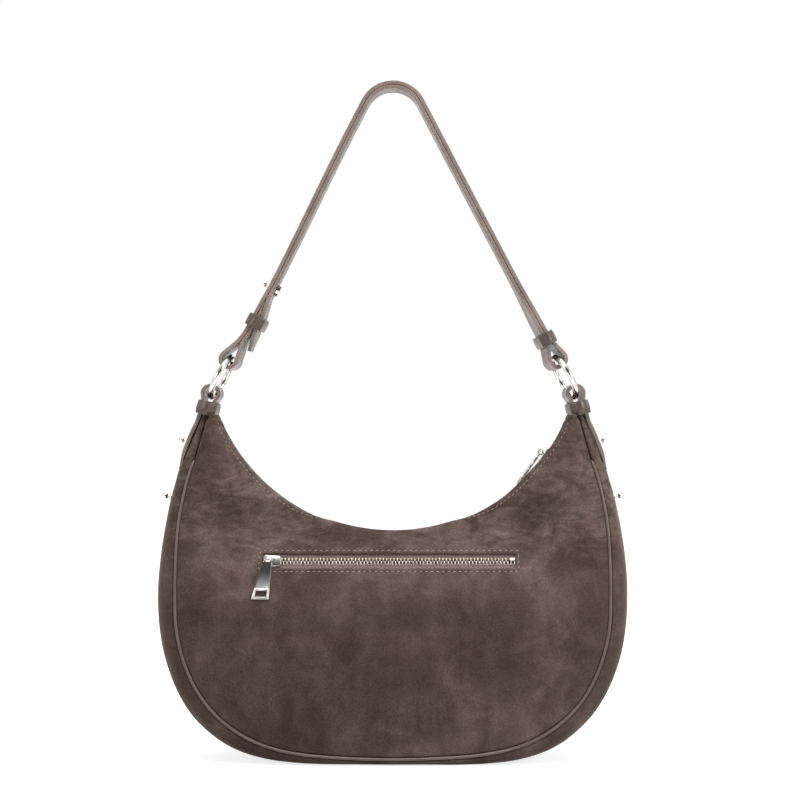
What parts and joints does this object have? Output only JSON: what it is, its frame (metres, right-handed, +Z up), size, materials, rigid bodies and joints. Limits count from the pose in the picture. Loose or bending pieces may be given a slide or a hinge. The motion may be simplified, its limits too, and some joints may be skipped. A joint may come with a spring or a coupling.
{
  "type": "crossbody bag",
  "caption": "Half-moon suede bag with a piped gusset, zipped mouth, zipped back pocket and a folded leather strap on metal rings.",
  "frame": {"origin": "middle of the flat base, on the surface that the bag stands on", "axes": "+Z up, +X to the right as seen from the back pocket's side, -Y out of the back panel with the pocket"},
  "size_m": [0.34, 0.0822, 0.4874],
  "materials": {
    "suede": "napped suede",
    "strap_leather": "smooth satin",
    "piping": "smooth satin",
    "lining": "woven",
    "zip_tape": "woven",
    "board": "matte",
    "teeth": "polished",
    "nickel": "polished"
  },
  "bodies": {
    "bag": {"back_panel": "suede", "front_panel": "suede", "gusset": "suede", "back_piping": "piping", "front_piping": "piping", "base_board": "board", "back_lining": "lining", "front_lining": "lining", "gusset_lining": "lining", "pocket_pouch": "lining", "top_zip_back_tape": "zip_tape", "top_zip_front_tape": "zip_tape", "top_zip_back_teeth": "teeth", "top_zip_front_teeth": "teeth", "left_zip_end_tab": "strap_leather", "right_zip_end_tab": "strap_leather", "pocket_zip_upper_tape": "zip_tape", "pocket_zip_lower_tape": "zip_tape", "pocket_zip_upper_teeth": "teeth", "pocket_zip_lower_teeth": "teeth", "pocket_zip_stop": "teeth", "left_loop_tab": "strap_leather", "right_loop_tab": "strap_leather", "left_horn_keeper": "strap_leather", "right_horn_keeper": "strap_leather", "left_tab_stud": "nickel", "right_tab_stud": "nickel", "left_tab_stud_screw": "nickel", "right_tab_stud_screw": "nickel", "left_spare_stud": "nickel", "right_spare_stud": "nickel", "left_spare_stud_screw": "nickel", "right_spare_stud_screw": "nickel"},
    "left_ring_body": {"left_ring": "nickel"},
    "right_ring_body": {"right_ring": "nickel"},
    "strap_body": {"shoulder_strap": "strap_leather", "strap_stud": "nickel", "strap_stud_screw": "nickel"},
    "left_keeper_body": {"left_strap_keeper": "strap_leather"},
    "right_keeper_body": {"right_strap_keeper": "strap_leather"},
    "pocket_slider_body": {"pocket_slider": "nickel"},
    "pocket_pull_body": {"pocket_pull": "nickel"},
    "top_slider_body": {"top_slider": "nickel"},
    "top_pull_body": {"top_pull": "nickel"}
  },
  "joints": [
    {"name": "strap_sway", "type": "hinge", "parent": "bag", "child": "left_ring_body", "pos_m": [-0.13177, 0, 0.25967], "axis": [0, 1, 0], "range_deg": [-8, 8]},
    {"name": "strap_on_left_ring", "type": "hinge", "parent": "left_ring_body", "child": "strap_body", "pos_m": [-0.11689, 0, 0.288], "axis": [0, 1, 0], "range_deg": [-9.1, 9.1]},
    {"name": "right_ring_swing", "type": "hinge", "parent": "bag", "child": "right_ring_body", "pos_m": [0.13177, 0, 0.25967], "axis": [0, 1, 0], "range_deg": [-8.1, 8.1]},
    {"name": "left_keeper_slide", "type": "slide", "parent": "strap_body", "child": "left_keeper_body", "axis": [0.4651, 0, 0.8852], "range_m": [0, 0.016]},
    {"name": "right_keeper_slide", "type": "slide", "parent": "strap_body", "child": "right_keeper_body", "axis": [-0.4651, 0, 0.8852], "range_m": [0, 0.18]},
    {"name": "pocket_zip_slide", "type": "slide", "parent": "bag", "child": "pocket_slider_body", "axis": [1, 0, 0], "range_m": [0, 0.161]},
    {"name": "pocket_pull_lift", "type": "hinge", "parent": "pocket_slider_body", "child": "pocket_pull_body", "pos_m": [-0.0889, -0.02621, 0.14384], "axis": [-1, 0, 0], "range_deg": [0, 150]},
    {"name": "top_zip_slide", "type": "hinge", "parent": "bag", "child": "top_slider_body", "pos_m": [0, 0, 0.29723], "axis": [0, 1, 0], "range_deg": [0, 108]},
    {"name": "top_pull_lift", "type": "hinge", "parent": "top_slider_body", "child": "top_pull_body", "pos_m": [0.10706, 0, 0.21945], "axis": [0, 1, 0], "range_deg": [0, 150]}
  ],
  "couplings": [
    {"joint": "strap_on_left_ring", "follows": "strap_sway", "ratio": -1.1273},
    {"joint": "right_ring_swing", "follows": "strap_sway", "ratio": 1}
  ]
}
